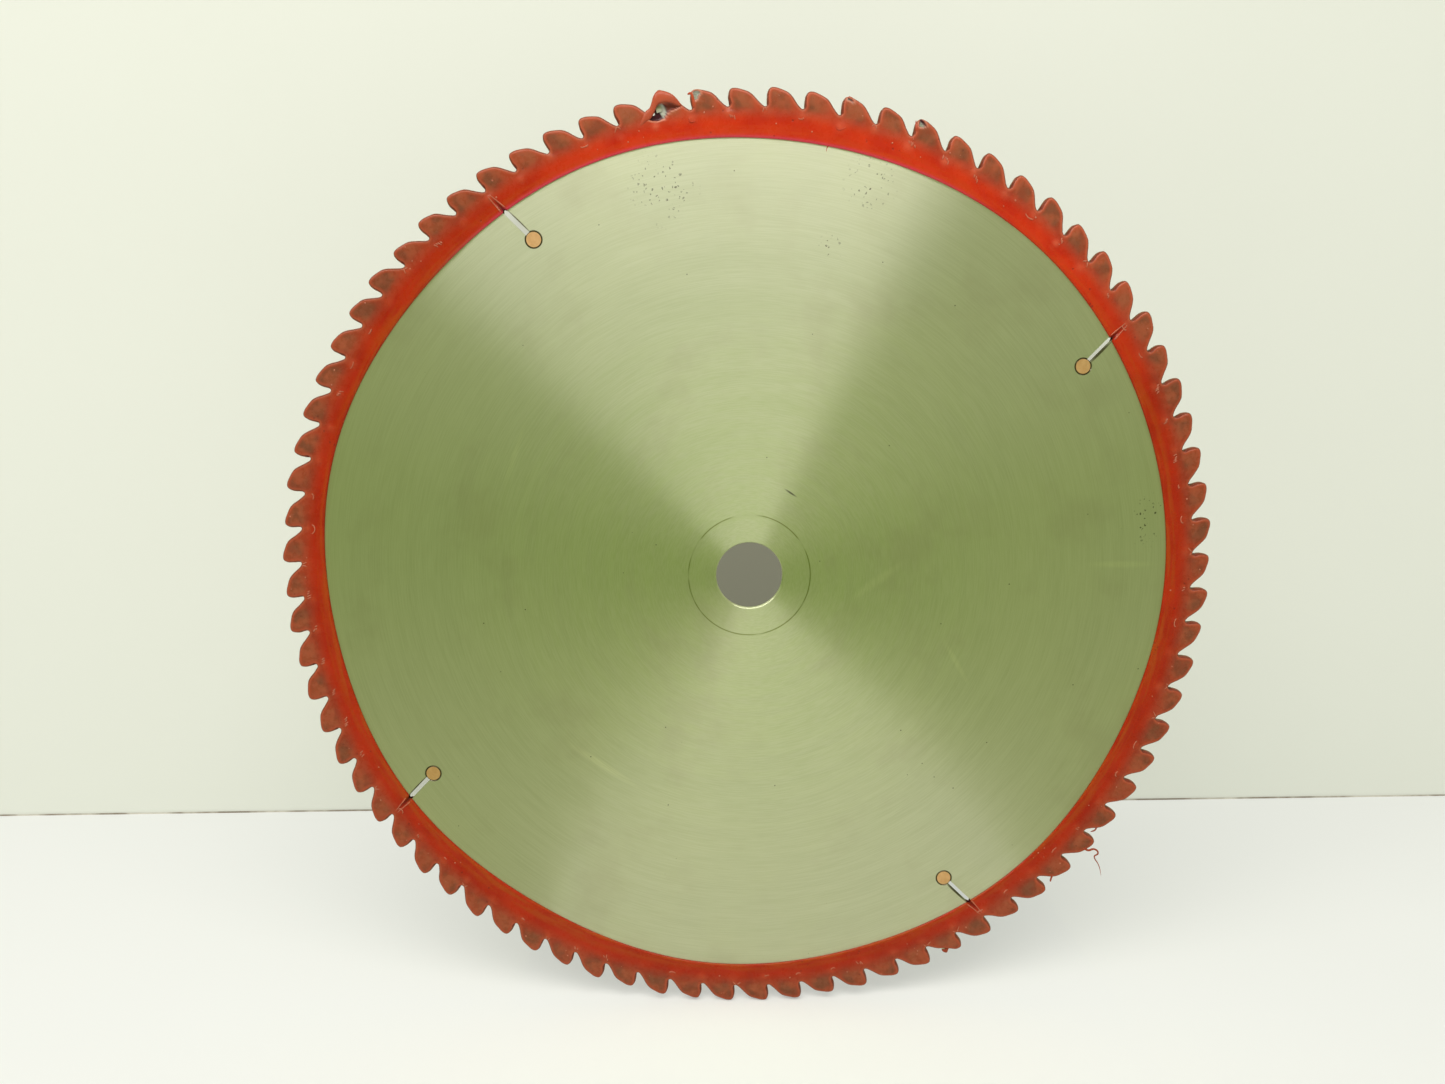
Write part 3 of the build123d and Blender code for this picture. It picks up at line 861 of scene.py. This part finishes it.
def dipped_plastic():
    material = bpy.data.materials.new("dipped_plastic")
    nodes = Nodes(material)
    place, radius, east, north, _ = polar(nodes)
    cloud = nodes.ramp(nodes.noise(place, 70.0, 3.0, 0.5), 0.3, 0.7)
    mottle = nodes.ramp(nodes.noise(place, 420.0, 3.0, 0.6), 0.3, 0.7)
    core, pool, crease, rim, lip, sunk, torn, dark, bare, edge = [
        nodes.attribute(name) for name in ("core", "pool", "crease", "rim", "lip", "sunk", "torn", "dark",
                                           "bare", "edge")]

    # The coat is painted brighter towards the top: partly painted light from above, partly a thinner coat on the
    # side that hung uppermost
    up = nodes.math("ADD", north, nodes.math("MULTIPLY", east, 0.25))
    top_light_and_thin = nodes.ramp(up, 0.6, 0.95)
    deep = nodes.mix(cloud, rgb(0.29, 0.010, 0.001), rgb(0.37, 0.018, 0.002))
    bright = nodes.mix(cloud, rgb(0.44, 0.014, 0.002), rgb(0.56, 0.034, 0.005))
    tone = nodes.mix(top_light_and_thin, deep, bright)
    drawn = ground_rings(nodes, radius, east, north, 700.0, 9.0)
    amber = nodes.math("MULTIPLY", nodes.ramp(radius, 0.1603, 0.1645, 1.0, 0.12),
                       nodes.ramp(drawn, 0.4, 0.6, 0.15, 1.0))
    tone = nodes.mix(amber, tone, nodes.mix(top_light_and_thin, rgb(0.34, 0.044, 0.003), rgb(0.49, 0.036, 0.004)))
    pooled = nodes.mix(top_light_and_thin, rgb(0.40, 0.060, 0.020), rgb(0.60, 0.12, 0.055))

    brown = nodes.mix(mottle, rgb(0.19, 0.043, 0.014), rgb(0.28, 0.070, 0.025))
    brown = nodes.mix(nodes.math("MULTIPLY", top_light_and_thin, 0.6), brown, rgb(0.34, 0.105, 0.045))
    blotch = nodes.ramp(nodes.noise(place, 150.0, 2.0), 0.42, 0.62, 0.0, 0.55)
    brown = nodes.mix(blotch, nodes.mix(0.3, brown, rgb(0.34, 0.085, 0.04)), rgb(0.10, 0.045, 0.022))
    tone = nodes.mix(nodes.ramp(radius, 0.1635, 0.1690, 0.0, 0.5), tone, brown)
    tone = nodes.mix(nodes.math("MULTIPLY", crease, 0.55), tone, nodes.mix(top_light_and_thin, rgb(0.31, 0.008, 0.001),
                                                                           rgb(0.46, 0.009, 0.001)))
    tone = nodes.mix(nodes.math("MULTIPLY", pool, 0.75), tone, pooled)
    core = nodes.math("MULTIPLY", core, nodes.ramp(nodes.noise(place, 160.0), 0.3, 0.6, 0.65, 1.0), clamp=True)
    tone = nodes.mix(core, tone, brown)
    edging = nodes.mix(top_light_and_thin, rgb(0.36, 0.085, 0.038), rgb(0.46, 0.115, 0.055))
    tone = nodes.mix(nodes.math("MULTIPLY", rim, 0.8), tone, edging)
    # Painted shade: a thin dark line along the very edge of the outline, where it turns away
    tone = nodes.mix(nodes.ramp(rim, 0.97, 1.0, 0.0, 0.65), tone, rgb(0.11, 0.018, 0.012))
    # Painted highlight: the rolled inner lip is painted pink towards the top, where it catches the light from
    # above
    lip_top_highlight = nodes.ramp(nodes.math("ADD", north, nodes.math("MULTIPLY", east, -0.1)), 0.72, 0.93, 0.0, 0.7)
    tone = nodes.mix(nodes.math("MULTIPLY", lip, lip_top_highlight), tone, rgb(0.72, 0.06, 0.12))
    tone = nodes.mix(nodes.math("MULTIPLY", sunk, 0.9, clamp=True), tone, rgb(0.05, 0.003, 0.008))
    # Pale: the tears' cut edges, and painted highlights on the folds and blisters
    tone = nodes.mix(nodes.math("MULTIPLY", edge, 0.8), tone, rgb(0.55, 0.22, 0.13))
    tone = nodes.mix(torn, tone, rgb(0.17, 0.030, 0.016))
    tone = nodes.mix(dark, tone, rgb(0.045, 0.007, 0.014))
    tone = nodes.mix(bare, tone, rgb(0.43, 0.45, 0.36))

    cells = nodes.add("ShaderNodeTexVoronoi", {"Vector": place, "Scale": 330.0, "Randomness": 1.0})
    pit = nodes.ramp(cells.outputs["Distance"], 0.17, 0.08)
    pit = nodes.math("MULTIPLY", pit, nodes.math("GREATER_THAN", nodes.noise(place, 120.0, 1.0), 0.6))
    tone = nodes.mix(nodes.math("MULTIPLY", pit, 0.5), tone, rgb(0.10, 0.012, 0.006))

    height = nodes.math("SUBTRACT", nodes.math("MULTIPLY", cloud, 0.3), nodes.math("MULTIPLY", pit, 0.5))
    bump = nodes.add("ShaderNodeBump", {"Height": height, "Strength": 0.35, "Distance": 0.0005})
    shader = nodes.add("ShaderNodeBsdfPrincipled", {
        "Base Color": tone,
        "Roughness": nodes.ramp(mottle, 0.0, 1.0, 0.24, 0.34),
        "IOR": 1.5,
        "Specular IOR Level": 0.15,
        "Subsurface Weight": 0.1,
        "Subsurface Radius": (1.0, 0.25, 0.15),
        "Subsurface Scale": 0.0012,
        "Coat Weight": 0.15,
        "Coat Roughness": 0.07,
        "Normal": bump.outputs[0],
    })
    nodes.finish(shader.outputs[0])
    return material


def painted(name, colour, other, roughness, glow=0.0, scale=2.5):
    """A pale surface of the stage. Its glow stands for the light that a whole room throws back on it."""
    material = bpy.data.materials.new(name)
    nodes = Nodes(material)
    place = nodes.add("ShaderNodeTexCoord").outputs["Object"]
    cloud = nodes.noise(place, scale, 3.0, 0.5)
    tone = nodes.mix(nodes.ramp(cloud, 0.35, 0.65), colour, other)
    shader = nodes.add("ShaderNodeBsdfPrincipled", {
        "Base Color": tone,
        "Roughness": roughness,
        "Emission Color": tone,
        "Emission Strength": glow,
    })
    nodes.finish(shader.outputs[0])
    return material


def card_paint():
    """The reflector card, darker close to the blade."""
    material = bpy.data.materials.new("card_paint")
    nodes = Nodes(material)
    place = nodes.add("ShaderNodeTexCoord").outputs["Object"]
    _, y, _ = nodes.add("ShaderNodeSeparateXYZ", {0: place}).outputs
    tone = nodes.mix(nodes.ramp(y, -0.42, -0.12), rgb(0.68, 0.70, 0.49), rgb(0.50, 0.54, 0.36))
    shader = nodes.add("ShaderNodeBsdfPrincipled", {"Base Color": tone, "Roughness": 0.8})
    nodes.finish(shader.outputs[0])
    return material


def wall_paint():
    """Pale wall with a painted soft shadow of the blade on it. It shows only from its front, so that it never
    stands before the blade's back."""
    material = painted("wall_paint", rgb(0.525, 0.545, 0.485), rgb(0.535, 0.555, 0.495), 0.7, glow=0.38)
    nodes = Nodes(material, keep=True)
    output = next(node for node in nodes.tree.nodes if node.type == "OUTPUT_MATERIAL")
    shader = output.inputs["Surface"].links[0].from_node
    pale = shader.inputs["Base Color"].links[0].from_socket
    place = nodes.add("ShaderNodeTexCoord").outputs["Object"]
    away = nodes.add("ShaderNodeVectorMath", {0: place, 1: SHADOW_CENTRE}, operation="DISTANCE").outputs["Value"]
    # Painted shadow: a soft dark disc centred behind the bore
    shadow = nodes.math("MINIMUM", nodes.ramp(away, 0.03, 0.2, 0.85, 0.3),
                        nodes.ramp(away, 0.19, 0.264, 0.85, 0.0))
    shade = nodes.mix(shadow, pale, rgb(0.115, 0.11, 0.075))
    for socket in ("Base Color", "Emission Color"):
        nodes.tree.links.new(shade, shader.inputs[socket])
    back = nodes.add("ShaderNodeNewGeometry").outputs["Backfacing"]
    clear = nodes.add("ShaderNodeBsdfTransparent").outputs[0]
    choose = nodes.add("ShaderNodeMixShader", {0: back, 1: shader.outputs[0], 2: clear})
    nodes.tree.links.new(choose.outputs[0], output.inputs["Surface"])
    return material


# ---------------------------------------------------------------- pieces

def dress(node, material):
    node.data.materials.clear()
    node.data.materials.append(material)


def dress_metal():
    steel = ground_steel()
    copper = plain_metal("ground_copper", rgb(1.0, 0.60, 0.38), rgb(0.90, 0.50, 0.29), 0.42, 500.0, shaded_rim=True)
    carbide = plain_metal("tip_carbide", rgb(0.56, 0.56, 0.53), rgb(0.40, 0.40, 0.39), 0.42, 300.0)
    braze = plain_metal("braze_alloy", rgb(0.80, 0.72, 0.50), rgb(0.62, 0.52, 0.32), 0.4, 400.0)
    families = {"saw_plate": steel, "slot_plug": copper, "tip_pair": carbide, "braze_foils": braze}
    for name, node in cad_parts.items():
        for family, material in families.items():
            if name.startswith(family):
                dress(node, material)


def make_coat():
    plastic = dipped_plastic()
    pieces = [
        closed_grid("dip_coat_skin", *coat_mesh()),
        # The folds' and blisters' rim and edge marks paint them paler: painted highlights on their crests
        gathered("coat_folds", folds() + slot_ridges(), 0.5, 0.6),
        gathered("coat_blisters", blisters(), 0.5, 0.8),
        gathered("coat_strands", [strand(*values) for values in STRANDS], 0.3, 0.0),
        gathered("coat_flap", [flap()], 0.3, 0.1),
    ]
    for piece in pieces:
        piece.data.materials.append(plastic)
        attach(piece, "root")
    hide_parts("dip_coat")


# ---------------------------------------------------------------- stage

WALL_DISTANCE = 0.188            # from the plate's middle back to the wall
SHADOW_CENTRE = (0.0076, WALL_DISTANCE, -0.0347)
STAGE_HALF = 9.0
CARD_SIDES = (-0.095, 0.15)      # the reflector card on the floor that only the steel mirrors
CARD_FRONT = 0.6
JOINT_HEIGHT = 0.0009            # the dirty line where the floor meets the wall
JOINT_GAP = 0.0005               # and how far it stands before the wall
WALL_TURN = 0.0205               # how much farther the wall is to the right, for each metre along it


def level_corners(left, right, near, far, height):
    return [(left, near, height), (right, near, height), (right, far, height), (left, far, height)]


def upright_corners(far, turn, low, high):
    left, right = (-STAGE_HALF, far - turn), (STAGE_HALF, far + turn)
    return [(*left, low), (*right, low), (*right, high), (*left, high)]


def sheet(name, corners, material):
    mesh = bpy.data.meshes.new(name)
    mesh.from_pydata(corners, [], [tuple(range(len(corners)))])
    mesh.materials.append(material)
    piece = bpy.data.objects.new(name, mesh)
    bpy.context.collection.objects.link(piece)
    piece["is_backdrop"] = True
    return piece


def make_stage():
    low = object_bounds()[0].z
    far, near = WALL_DISTANCE, -STAGE_HALF
    turn = WALL_TURN * STAGE_HALF
    floor = sheet("floor", level_corners(-STAGE_HALF, STAGE_HALF, near, STAGE_HALF, low),
                  painted("table_top", rgb(0.52, 0.533, 0.515), rgb(0.533, 0.546, 0.528), 0.55, glow=0.62))
    floor.visible_glossy = False
    card = sheet("reflector_card", level_corners(*CARD_SIDES, -CARD_FRONT, far, low + 0.0001), card_paint())
    wall = sheet("wall", upright_corners(far, turn, low, STAGE_HALF), wall_paint())
    sheet("floor_joint", upright_corners(far - JOINT_GAP, turn, low, low + JOINT_HEIGHT),
          painted("joint_dirt", rgb(0.24, 0.20, 0.15), rgb(0.62, 0.60, 0.52), 0.8, scale=60.0))
    for ray in ("visible_diffuse", "visible_transmission", "visible_shadow"):
        setattr(card, ray, False)
        setattr(wall, ray, False)
    card.visible_camera = False
    wall.visible_glossy = False


def area_light(name, place, tilt, size, power, colour):
    """A rectangle of light that keeps its width along X and tips from straight down towards +Y."""
    light = bpy.data.lights.new(name, "AREA")
    light.shape = "RECTANGLE"
    light.size, light.size_y = size
    light.energy = power
    light.color = colour
    lamp = bpy.data.objects.new(name, light)
    lamp.location = place
    lamp.rotation_euler = (radians(tilt), 0, 0)
    bpy.context.collection.objects.link(lamp)


def make_world():
    """A pale room overhead and below, with an olive gloom at its sides."""
    world = bpy.data.worlds.new("studio")
    bpy.context.scene.world = world
    nodes = Nodes(world)
    way = nodes.add("ShaderNodeTexCoord").outputs["Generated"]
    east, _, height = nodes.add("ShaderNodeSeparateXYZ", {0: way}).outputs
    slope = nodes.math("ADD", nodes.math("ABSOLUTE", height), nodes.math("MULTIPLY", east, 0.3))
    corner = nodes.math("MAXIMUM", nodes.math("MULTIPLY", east, height), 0.0)
    slope = nodes.math("ADD", slope, nodes.math("MULTIPLY", corner, 1.5))
    room = nodes.mix(nodes.ramp(slope, 0.0, 0.75), rgb(0.29, 0.37, 0.12), rgb(0.47, 0.50, 0.25))
    upper = nodes.math("MULTIPLY", nodes.math("ABSOLUTE", east), nodes.math("MAXIMUM", height, 0.0))
    room = nodes.mix(nodes.ramp(upper, 0.02, 0.25), room, rgb(0.62, 0.64, 0.39))
    mirrored = nodes.add("ShaderNodeLightPath").outputs["Is Glossy Ray"]
    tone = nodes.mix(mirrored, rgb(0.52, 0.53, 0.49), room)
    background = nodes.add("ShaderNodeBackground", {"Color": tone, "Strength": 1.0})
    nodes.add("ShaderNodeOutputWorld", {"Surface": background.outputs[0]})


def make_light():
    tint = (1.0, 0.94, 0.89)
    area_light("near_strip", (-0.42, -0.75, 1.3), 37, (2.7, 0.3), 14.0, tint)
    area_light("far_strip", (-0.34, -1.0, 1.1), 37, (2.0, 0.3), 10.6, tint)
    make_world()
    bpy.context.scene.view_settings.view_transform = "Standard"


def make_camera():
    data = bpy.data.cameras.new("camera")
    data.sensor_width = 36.0
    data.lens = 23.96
    camera = bpy.data.objects.new("camera", data)
    right = Vector((0.99992, -0.01292, 0.0))
    up = Vector((0.00190, 0.14743, 0.98907))
    back = right.cross(up)
    turn = Matrix((right, up, back)).transposed()
    camera.matrix_world = Matrix.Translation((-0.0149, -0.3615, 0.0666)) @ turn.to_4x4()
    bpy.context.collection.objects.link(camera)
    bpy.context.scene.camera = camera


dress_metal()
make_coat()
make_stage()
make_light()
make_camera()
